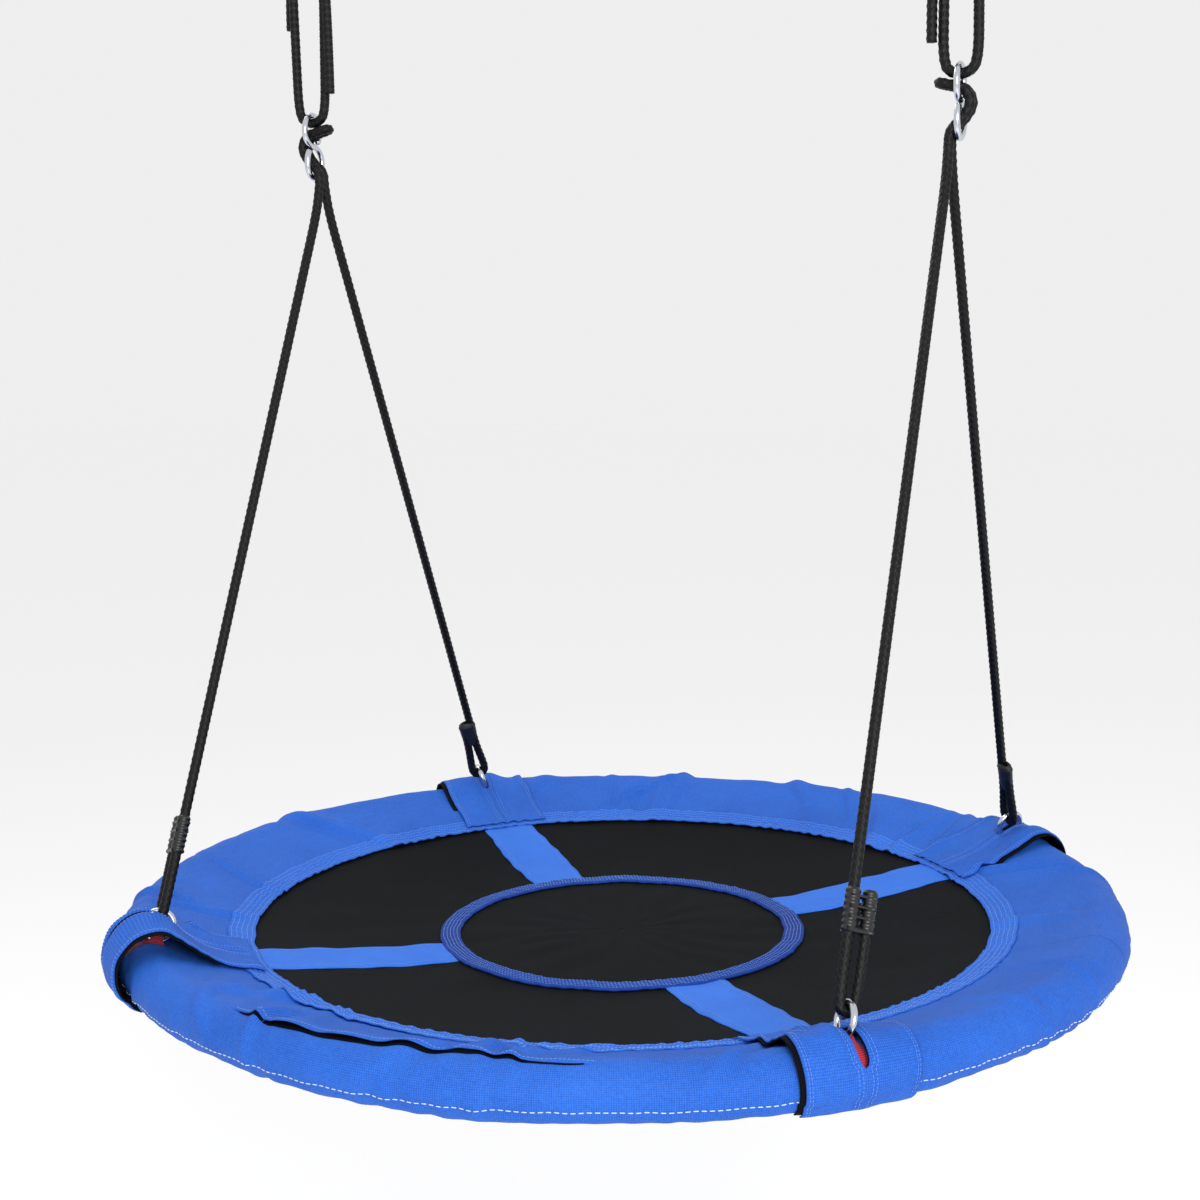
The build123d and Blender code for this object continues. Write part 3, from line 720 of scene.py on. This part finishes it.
def mend_normals(obj):
    """Point the faces of a closed mesh outwards."""
    mesh = bmesh.new()
    mesh.from_mesh(obj.data)
    bmesh.ops.remove_doubles(mesh, verts=mesh.verts, dist=1e-6)
    bmesh.ops.recalc_face_normals(mesh, faces=mesh.faces)
    mesh.to_mesh(obj.data)
    mesh.free()
    obj.data.update()
    return obj


black_cloth = oxford_cloth("black_woven_cloth", "#0c1012", "#060809", thread=0.0016, gloss=0.05)
radius_line = np.r_[0.0004, np.linspace(0.004, PANEL_RADIUS + 0.004, 80)]
angle_line = np.linspace(0, 2 * np.pi, 288, endpoint=False)
radii, angles = np.meshgrid(radius_line, angle_line, indexing="ij")
top = on_panel(radii, angles)
uv = np.stack([radii * np.cos(angles), radii * np.sin(angles)], -1)
panel = mend_normals(flat_solid("panel_cloth", top, top - (0, 0, PANEL_THICK), uv, wrap=True))
panel.data.materials.append(black_cloth)
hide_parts("seat_panel")
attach(panel, "seat")


# ---- straps, centre ring and hem band -----------------------------------------------------------
# Blue straps and bands of the same Oxford cloth, hemmed and sewn flat on the panel. The threads are a
# lighter blue polyester, 7 stitches to 25 mm, and a coarse pale one closes the cover's outer seam.
STRAP_HALF = 0.031
BAND_THICK = 0.0013


def thread_material(name, code):
    """Twisted polyester sewing thread, slightly glossy."""
    material, tree, output = new_material(name)
    twist = {"Base Color": linear(code), "Roughness": 0.5, "Sheen Weight": 0.2}
    shader = add(tree, "ShaderNodeBsdfPrincipled", twist)
    tree.links.new(shader.outputs["BSDF"], output.inputs["Surface"])
    return material


def stitch_rows(name, lines, normals, pitch=0.0036, length=0.0026, width=0.0007):
    """Rows of stitches: each is a small rounded bar lying along its line, half sunk into the cloth."""
    centres, ways, ups = [], [], []
    for line, up in zip(lines, normals):
        steps = np.r_[0, np.cumsum(np.linalg.norm(np.diff(line, axis=0), axis=1))]
        at = np.arange(pitch / 2, steps[-1], pitch)
        spot = np.stack([np.interp(at, steps, line[:, k]) for k in range(3)], -1)
        tip = np.stack([np.interp(at + length / 2, steps, line[:, k]) for k in range(3)], -1)
        rise = np.stack([np.interp(at, steps, up[:, k]) for k in range(3)], -1)
        way = tip - spot
        good = np.linalg.norm(way, axis=1) > 1e-5
        centres.append(spot[good])
        ways.append(way[good] / np.linalg.norm(way[good], axis=1)[:, None])
        ups.append(rise[good])
    centre, way, up = np.concatenate(centres), np.concatenate(ways), np.concatenate(ups)
    up = up - way * (up * way).sum(1)[:, None]
    up /= np.linalg.norm(up, axis=1)[:, None]
    side = np.cross(way, up)
    along = np.array([-0.5, -0.3, 0.3, 0.5]) * length
    girth = np.array([0.3, 1.0, 1.0, 0.3])
    turn = np.linspace(0, 2 * np.pi, 5, endpoint=False)
    body = (
        centre[:, None, None]
        + way[:, None, None] * along[None, :, None, None]
        + side[:, None, None] * (girth[:, None] * np.cos(turn) * width / 2)[None, ..., None]
        + up[:, None, None] * (girth[:, None] * np.sin(turn) * width * 0.42)[None, ..., None]
    )
    single = grid_faces(4, 5, False, True)
    quads = (single[None] + (np.arange(len(centre)) * 20)[:, None, None]).reshape(-1, 4).tolist()
    starts = np.arange(len(centre)) * 20
    backs = [[start + k for k in range(5)][::-1] for start in starts]
    fronts = [[start + 15 + k for k in range(5)] for start in starts]
    return mesh_object(name, body, quads + backs + fronts)


def straight_up(line):
    """The upward unit vector at each point of a line."""
    return np.tile((0.0, 0.0, 1.0), (len(line), 1))


def on_rim(angle):
    """Points on the centre line of the rim's tube."""
    level = np.full(np.shape(angle), RIM_Z)
    return np.stack([RIM_RADIUS * np.cos(angle), RIM_RADIUS * np.sin(angle), level], -1)


light_thread = thread_material("light_blue_thread", "#5a8fe2")
blue_thread = thread_material("mid_blue_thread", "#4a80d8")
for name, corner in CORNERS.items():
    centre_angle = math.radians(corner)
    along = np.linspace(0.178, 0.378, 70)
    across = np.linspace(-1, 1, 21)
    radii, shares = np.meshgrid(along, across, indexing="ij")
    half = STRAP_HALF * (1 + 0.05 * np.cos((radii - 0.275) / 0.1 * np.pi))
    half = half + 0.0006 * np.sin(radii * 170 + corner)
    offset = shares * half
    x = radii * np.cos(centre_angle) - offset * np.sin(centre_angle)
    y = radii * np.sin(centre_angle) + offset * np.cos(centre_angle)
    crown = 0.0016 - 0.0007 * np.abs(shares) ** 6 + 0.0005 * np.sin(radii * 120 + shares * 3 + corner)
    top = np.stack([x, y, panel_height(np.hypot(x, y), np.arctan2(y, x)) + crown], -1)
    uv = np.stack([radii, offset], -1)
    strap = mend_normals(flat_solid("strap_" + name, top, top - (0, 0, BAND_THICK), uv))
    strap.data.materials.append(strap_cloth)
    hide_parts("radial_strap_" + name)
    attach(strap, "seat")
    rows_of_thread = [top[:, 2] + (0, 0, 0.0002), top[:, -3] + (0, 0, 0.0002)]
    thread = stitch_rows("strap_thread_" + name, rows_of_thread, [straight_up(row) for row in rows_of_thread])
    thread.data.materials.append(blue_thread)
    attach(thread, "seat")

deep_blue = oxford_cloth("deep_blue_tape", "#143f9b", "#0e307c")
across = np.linspace(0, 1, 13)
angle_line = np.linspace(0, 2 * np.pi, 480, endpoint=False)
shares, angles = np.meshgrid(across, angle_line, indexing="ij")
radii = 0.1650 + 0.0205 * shares + 0.0004 * ripple(angles, shares, 41, 6, 10, 40)
crown = 0.0032 - 0.0010 * np.abs(2 * shares - 1) ** 6 + 0.0003 * ripple(angles, shares * 4, 43, 6, 40, 110)
top = on_panel(radii, angles, crown)
uv = np.stack([angles * 0.175, radii], -1)
ring = mend_normals(flat_solid("centre_ring_tape", top, top - (0, 0, 0.0016), uv, wrap=True))
ring.data.materials.append(deep_blue)
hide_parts("centre_ring_trim")
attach(ring, "seat")
lines = [np.concatenate([top[index], top[index][:1]]) + (0, 0, 0.0003) for index in (2, 4, 6, 8, 10)]
thread = stitch_rows("centre_ring_thread", lines, [straight_up(row) for row in lines])
thread.data.materials.append(blue_thread)
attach(thread, "seat")

HEM_IN, HEM_OUT = 0.3690, 0.3950
across = np.linspace(0, 1, 17)
angle_line = np.linspace(0, 2 * np.pi, 900, endpoint=False)
shares, angles = np.meshgrid(across, angle_line, indexing="ij")
radii = HEM_IN + (HEM_OUT - HEM_IN) * shares + 0.0006 * ripple(angles, shares, 51, 6, 14, 60)
# The band lies on the panel inside and on the cover outside, and lifts a little beside the zip flap.
by_flap = np.exp(-(angle_gap(angles, math.radians(251)) / math.radians(16)) ** 4) * shares**3 * 0.0015
inner = panel_height(radii, angles) + 0.0030
outer = cover_point(angles, np.clip(radii - HEM_RADIUS, 0, None) * 1.03)[..., 2] + 0.0012
height = np.where(radii < HEM_RADIUS + 0.002, np.maximum(inner, outer), outer)
height = height + 0.0003 * ripple(angles, shares * 6, 59, 8, 90, 180) + by_flap
top = np.stack([radii * np.cos(angles), radii * np.sin(angles), height], -1)
hem_cloth = oxford_cloth("hem_band_cloth", "#3473d8", "#235abd")
uv = np.stack([angles * 0.377, radii], -1)
hem = mend_normals(flat_solid("hem_tape", top, top - (0, 0, BAND_THICK), uv, wrap=True))
hem.data.materials.append(hem_cloth)
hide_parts("hem_band")
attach(hem, "seat")
lines = [np.concatenate([top[index], top[index][:1]]) + (0, 0, 0.0003) for index in (2, 5, 8, 11, 14)]
thread = stitch_rows("hem_thread", lines, [straight_up(row) for row in lines])
thread.data.materials.append(light_thread)
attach(thread, "seat")

angle_seam = np.linspace(0, 2 * np.pi, 2400)
seam_line = cover_point(angle_seam, top_line + rim_arc * SEAM_SHARE - 0.004, 0.0003)
seam_up = seam_line - on_rim(angle_seam)
seam_up /= np.linalg.norm(seam_up, axis=1)[:, None]
thread = stitch_rows("rim_seam_thread", [seam_line], [seam_up], pitch=0.0062, length=0.0044, width=0.0011)
pale_thread = thread_material("pale_thread", "#b9cdf0")
thread.data.materials.append(pale_thread)
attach(thread, "seat")


# ---- zip flap -----------------------------------------------------------------------------------
# The cover opens along its front for the foam. A loose flap of the same cloth hides the black zip tape;
# its free edge lies along the top of the rim and stands off most near the front left corner. The tape also
# shows as a black band just past that edge, standing in for the shadow in the gap: painted shadow.
FLAP_SEAM = 0.078
FLAP_EDGE = 0.1085
flap_angle = np.radians(np.linspace(251, 291, 260))
share = (flap_angle - flap_angle[0]) / np.ptp(flap_angle)
dip = 0.006 * np.exp(-((share - 0.66) / 0.18) ** 2)
free_edge = FLAP_EDGE - dip + 0.0010 * ripple(flap_angle, 0 * share, 71, 5, 18, 60)
rise = np.clip(np.sin(np.pi * np.clip(share, 0, 1)), 0, 1) ** 0.5
gape = 0.0034 * np.exp(-((share - 0.14) / 0.16) ** 2)
stand = rise * (0.0016 + gape + 0.0012 * ripple(flap_angle, 0 * share, 73, 5, 24, 70))
shares, angles = np.meshgrid(np.linspace(0, 1, 15), flap_angle, indexing="ij")
distances = FLAP_SEAM + (free_edge - FLAP_SEAM)[None] * shares
lift = 0.0025 * rise[None] * np.clip(shares / 0.25, 0, 1) - 0.0007 + np.clip(stand, 0, None)[None] * shares**5
top = cover_point(angles, distances, lift)
low = cover_point(angles, distances, lift - 0.0011)
flap = mend_normals(flat_solid("zip_flap", top, low, np.stack([angles * RIM_RADIUS, distances], -1)))
flap.data.materials.append(blue_cloth)
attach(flap, "seat")
line = top[12] + (0, 0, 0.0002)
thread = stitch_rows("zip_flap_thread", [line], [straight_up(line)])
thread.data.materials.append(light_thread)
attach(thread, "seat")
# Black tape under the flap's free edge: zip tape, drawn out to just past the edge as a dark band that stands in
# for the shadow in the gap under the flap (painted shadow).
zip_tape = oxford_cloth("black_zip_tape", "#090a10", "#040507", gloss=0.04)
shares, angles = np.meshgrid(np.linspace(-1, 0.42, 5), flap_angle[8:-8], indexing="ij")
distances = free_edge[None, 8:-8] + 0.0085 * shares * rise[None, 8:-8]
top, low = cover_point(angles, distances, 0.0006), cover_point(angles, distances, -0.0004)
tape = mend_normals(flat_solid("zip_tape", top, low, np.stack([angles * RIM_RADIUS, distances], -1)))
tape.data.materials.append(zip_tape)
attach(tape, "seat")


# ---- corner tabs --------------------------------------------------------------------------------
# Each corner has a wide flap of the blue cloth over the rim, lined in black. A slit along its middle,
# stitched on both sides, lets the webbing and its ring through; the rope lifts the cloth round it.
# In each form, lift and open are metres at the slit, and edge is the share of the lift at each side.
black_lining = oxford_cloth("black_lining_cloth", "#0f0e15", "#08080c", gloss=0.05)
TAB_START, LINING_START = 0.001, 0.046
TAB_END = top_line + rim_arc * 0.80
TAB_HALF = 0.050
SLIT_AT, SLIT_HALF = top_line + 0.010, 0.026
TABS = {
    "front_left": {"lift": 0.0265, "edge": {-1: 0.35, 1: 0.80}, "open": 0.0045, "dark": 1},
    "rear_left": {"lift": 0.0085, "edge": {-1: 0.30, 1: 0.75}, "open": 0.0035, "dark": 1},
    "front_right": {"lift": 0.0085, "edge": {-1: 0.80, 1: 0.30}, "open": 0.0048, "dark": -1},
    "rear_right": {"lift": 0.0095, "edge": {-1: 0.95, 1: 0.35}, "open": 0.0050, "dark": -1},
}


def tab_half(corner, side, form, base, trim, start=TAB_START):
    """One half of a tab, from its slit to its side edge, as a grid over distance along and across it.

    It lies on the cover, rises to the slit where the ring pulls it, and lifts a little at its side edge.
    """
    along, across = np.linspace(start, TAB_END, 130), np.linspace(0, 1, 26) ** 1.2
    distances, shares = np.meshgrid(along, across, indexing="ij")
    gape = form["open"] * np.clip(1 - ((distances - SLIT_AT) / SLIT_HALF) ** 6, 0, 1) ** 0.5
    half = TAB_HALF - trim + 0.001 * np.sin(distances * 60 + corner)
    offset = side * (gape * (1 - shares) ** 2 + shares * half)
    middle = cover_point(math.radians(corner), distances)
    radius = np.hypot(middle[..., 0], middle[..., 1])
    angle = math.radians(corner) + np.arcsin(np.clip(offset / radius, -1, 1))
    tent = np.exp(-np.abs((distances - SLIT_AT) / 0.040) ** 1.7)
    reach = np.exp(-((offset / 0.026) ** 2))
    edge = form["edge"][side]
    lift = base + form["lift"] * tent * (reach + edge * (1 - reach))
    lift = lift + 0.0016 * np.exp(-((distances / 0.022) ** 2))
    lift = lift + 0.0007 * np.sin(distances * 90 + offset * 60 + corner) * np.clip(distances / 0.02, 0, 1)
    lip = 0.0008 * np.exp(-((np.abs(offset) - gape) / 0.003) ** 2) * (gape > 0)
    return cover_point(angle, distances, lift + lip, pockets=False), distances, offset


def join(pieces):
    """Join the pieces into the first of them."""
    with bpy.context.temp_override(
        active_object=pieces[0], selected_editable_objects=pieces, selected_objects=pieces
    ):
        bpy.ops.object.join()


for name, corner in CORNERS.items():
    form = TABS[name]
    for layer, base, cloth, node, slot in (
        ("lining", 0.0012, black_lining, "tab_lining_", "black_lining"),
        ("tab", 0.0032, blue_cloth, "corner_tab_", "blue_fabric"),
    ):
        halves = []
        for side in (-1, 1):
            trim = 0.0 if layer == "tab" else (-0.0042 if side == form["dark"] else 0.0015)
            start = TAB_START if layer == "tab" else LINING_START
            top, distances, offset = tab_half(corner, side, form, base, trim, start)
            low = tab_half(corner, side, form, base - 0.0014, trim, start)[0]
            halves.append(flat_solid("half", top, low, np.stack([distances, offset], -1)))
        tab = halves[0]
        join(halves)
        tab.name = layer + "_" + name
        mend_normals(tab)
        tab.data.materials.append(cloth)
        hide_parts(node + name)
        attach(tab, "seat")
    lines, ups = [], []
    for side in (-1, 1):
        top = tab_half(corner, side, form, 0.0035, 0.0)[0]
        for column in (3, 5, 23, 24):
            line = top[3:-3, column]
            up = line - on_rim(math.radians(corner))
            up[:, 2] += 0.03
            lines.append(line)
            ups.append(up / np.linalg.norm(up, axis=1)[:, None])
    thread = stitch_rows("tab_thread_" + name, lines, ups)
    thread.data.materials.append(blue_thread)
    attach(thread, "seat")


# ---- webbing slings -----------------------------------------------------------------------------
# Red polyester webbing, looped round the steel tube and folded over the lower wire of each ring. The
# fold narrows at the ring, and the loop round the tube is drawn just under the cover's cloth.
FOLD_RADIUS = 0.0046
WEBBING_HALF_THICK = 0.0011
LOOP_HALF_WIDTH = 0.014


def webbing_material():
    """Woven red polyester: dull, with crosswise ribs drawn 1.4 mm apart so that they show."""
    material, tree, output = new_material("red_polyester_webbing")
    place = add(tree, "ShaderNodeTexCoord")
    bands = {"Vector": place.outputs["UV"], "Scale": math.pi / 10 / 0.0014, "Distortion": 0.5}
    ribs = add(tree, "ShaderNodeTexWave", bands, bands_direction="X")
    colours = {"Factor": ribs.outputs["Fac"], "A": linear("#8e0f24"), "B": linear("#d8283f")}
    colour = add(tree, "ShaderNodeMix", colours, data_type="RGBA")
    bump = add(tree, "ShaderNodeBump", {"Height": ribs.outputs["Fac"], "Strength": 0.6, "Distance": 0.0004})
    shader = add(tree, "ShaderNodeBsdfPrincipled", {
        "Base Color": colour.outputs["Result"],
        "Roughness": 0.6,
        "Sheen Weight": 0.3,
        "Normal": bump.outputs["Normal"],
    })
    tree.links.new(shader.outputs["BSDF"], output.inputs["Surface"])
    return material


def webbing_fold(name, foot, corner):
    """The webbing over a ring: down one side, round the ring's lower wire in a half circle, and back.

    The fold lies in the plane through the rim's tube and the wire, and is swept across that plane.
    """
    centre = on_rim(corner)
    height = np.linalg.norm(foot - centre)
    rise = (foot - centre) / height
    around = np.array([-math.sin(corner), math.cos(corner), 0.0])
    depth = np.cross(around, rise)
    turn = np.linspace(0, np.pi, 25)
    fold = np.stack([np.cos(turn) * FOLD_RADIUS, height + np.sin(turn) * FOLD_RADIUS], -1)
    down = np.linspace(height, 0.0155, 14)[1:]
    right = np.stack([FOLD_RADIUS - 0.0006 * np.sin(np.linspace(0, np.pi, 13)), down], -1)
    profile = np.concatenate([right[::-1], fold, right * (-1, 1)])
    half_wide = 0.0055 + 0.0075 * np.clip((height - profile[:, 1] + 0.002) / 0.010, 0, 1) ** 0.8
    level = np.linspace(-1, 1, 9)
    tangent = np.gradient(profile, axis=0)
    tangent /= np.linalg.norm(tangent, axis=1)[:, None]
    normal = np.stack([tangent[:, 1], -tangent[:, 0]], -1)
    layers = []
    for way in (1, -1):
        flat = profile + normal * WEBBING_HALF_THICK * way
        grid = centre + around * flat[:, 0][:, None, None] + rise * flat[:, 1][:, None, None]
        layers.append(grid + depth * (half_wide[:, None] * level[None])[..., None])
    steps = np.r_[0, np.cumsum(np.linalg.norm(np.diff(profile, axis=0), axis=1))]
    uv = np.stack(np.broadcast_arrays(steps[:, None], level[None] * 0.01), -1)
    return flat_solid(name, layers[0], layers[1], uv)


def webbing_loop(corner):
    """The webbing round the tube: a short length of a torus with a thin wall."""
    turn = np.linspace(0, 2 * np.pi, 49)
    angle = corner + np.linspace(-LOOP_HALF_WIDTH, LOOP_HALF_WIDTH, 9)[None] / RIM_RADIUS
    walls = []
    for radius in (0.0232, 0.0208):
        reach = RIM_RADIUS + radius * np.sin(turn)[:, None]
        level = RIM_Z + radius * np.cos(turn)[:, None] + 0 * angle
        walls.append(np.stack([reach * np.cos(angle), reach * np.sin(angle), level], -1))
    uv = np.stack(np.broadcast_arrays(turn[:, None] * 0.0165, angle * RIM_RADIUS), -1)
    return flat_solid("webbing_loop", walls[0], walls[1], uv)


red_webbing = webbing_material()
for side_name, side in SIDES.items():
    for end_name, end in ENDS.items():
        where = end_name + "_" + side_name
        corner = math.radians(CORNERS[where])
        webbing = webbing_fold("webbing_" + where, leg_axes(side, end)[0], corner)
        join([webbing, webbing_loop(corner)])
        mend_normals(webbing)
        webbing.data.materials.append(red_webbing)
        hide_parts("webbing_sling_" + where)
        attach(webbing, "seat")


# ---- steel rim, its screws and the foam ---------------------------------------------------------
# Hidden inside the cover: four bent, powder-coated tubes pushed together and pinned by zinc-plated
# screws, with a grey foam pad round each stretch between two corners.
def coat_material(name, code, rough, scale=500.0):
    """A plain finish with a fine orange-peel or cell texture."""
    material, tree, output = new_material(name)
    place = add(tree, "ShaderNodeTexCoord")
    peel = add(tree, "ShaderNodeTexNoise", {"Vector": place.outputs["Object"], "Scale": scale, "Detail": 2.0})
    bump = add(tree, "ShaderNodeBump", {"Height": peel.outputs["Fac"], "Strength": 0.3, "Distance": 0.0003})
    shader = add(tree, "ShaderNodeBsdfPrincipled", {
        "Base Color": linear(code),
        "Roughness": rough,
        "Normal": bump.outputs["Normal"],
    })
    tree.links.new(shader.outputs["BSDF"], output.inputs["Surface"])
    return material


finishes = {
    "rim_tube": coat_material("grey_powder_coat", "#8d9096", 0.45),
    "rim_joint_screws": steel,
    "foam_pad": coat_material("grey_closed_cell_foam", "#55565a", 0.9, scale=900.0),
}
for name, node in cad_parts.items():
    for start, finish in finishes.items():
        if name.startswith(start):
            node.data.materials.clear()
            node.data.materials.append(finish)


# ---- floor and light ----------------------------------------------------------------------------
# A white matt studio floor well below the seat, a white surround and two soft square lights: the key
# in front on the right, and a smaller fill behind on the left.
FLOOR_Z, FLOOR_HALF = -1.75, 30
ground = [(x * FLOOR_HALF, y * FLOOR_HALF, FLOOR_Z) for x, y in ((-1, -1), (1, -1), (1, 1), (-1, 1))]
floor = mesh_object("floor", ground, [(0, 1, 2, 3)], smooth=False)
material, tree, output = new_material("pale_floor")
shader = add(tree, "ShaderNodeBsdfPrincipled", {"Base Color": linear("#ffffff"), "Roughness": 0.95})
tree.links.new(shader.outputs["BSDF"], output.inputs["Surface"])
floor.data.materials.append(material)
world = bpy.data.worlds.new("white_surround")
world.use_nodes = True
world.node_tree.nodes["Background"].inputs["Color"].default_value = (1, 1, 1, 1)
world.node_tree.nodes["Background"].inputs["Strength"].default_value = 0.86
scene.world = world


def soft_light(name, place, aim, size, watts):
    """A square area light turned to face a point."""
    lamp = bpy.data.objects.new(name, bpy.data.lights.new(name, "AREA"))
    lamp.data.size = size
    lamp.data.energy = watts
    lamp.location = place
    lamp.rotation_euler = (Vector(aim) - Vector(place)).to_track_quat("-Z", "Y").to_euler()
    scene.collection.objects.link(lamp)


soft_light("key", (1.6, -2.3, 0.25), (0, 0, -1.0), 1.1, 58)
soft_light("fill", (-1.4, 0.7, 1.1), (0, 0, -0.95), 0.7, 12)
scene.view_settings.view_transform = "Standard"
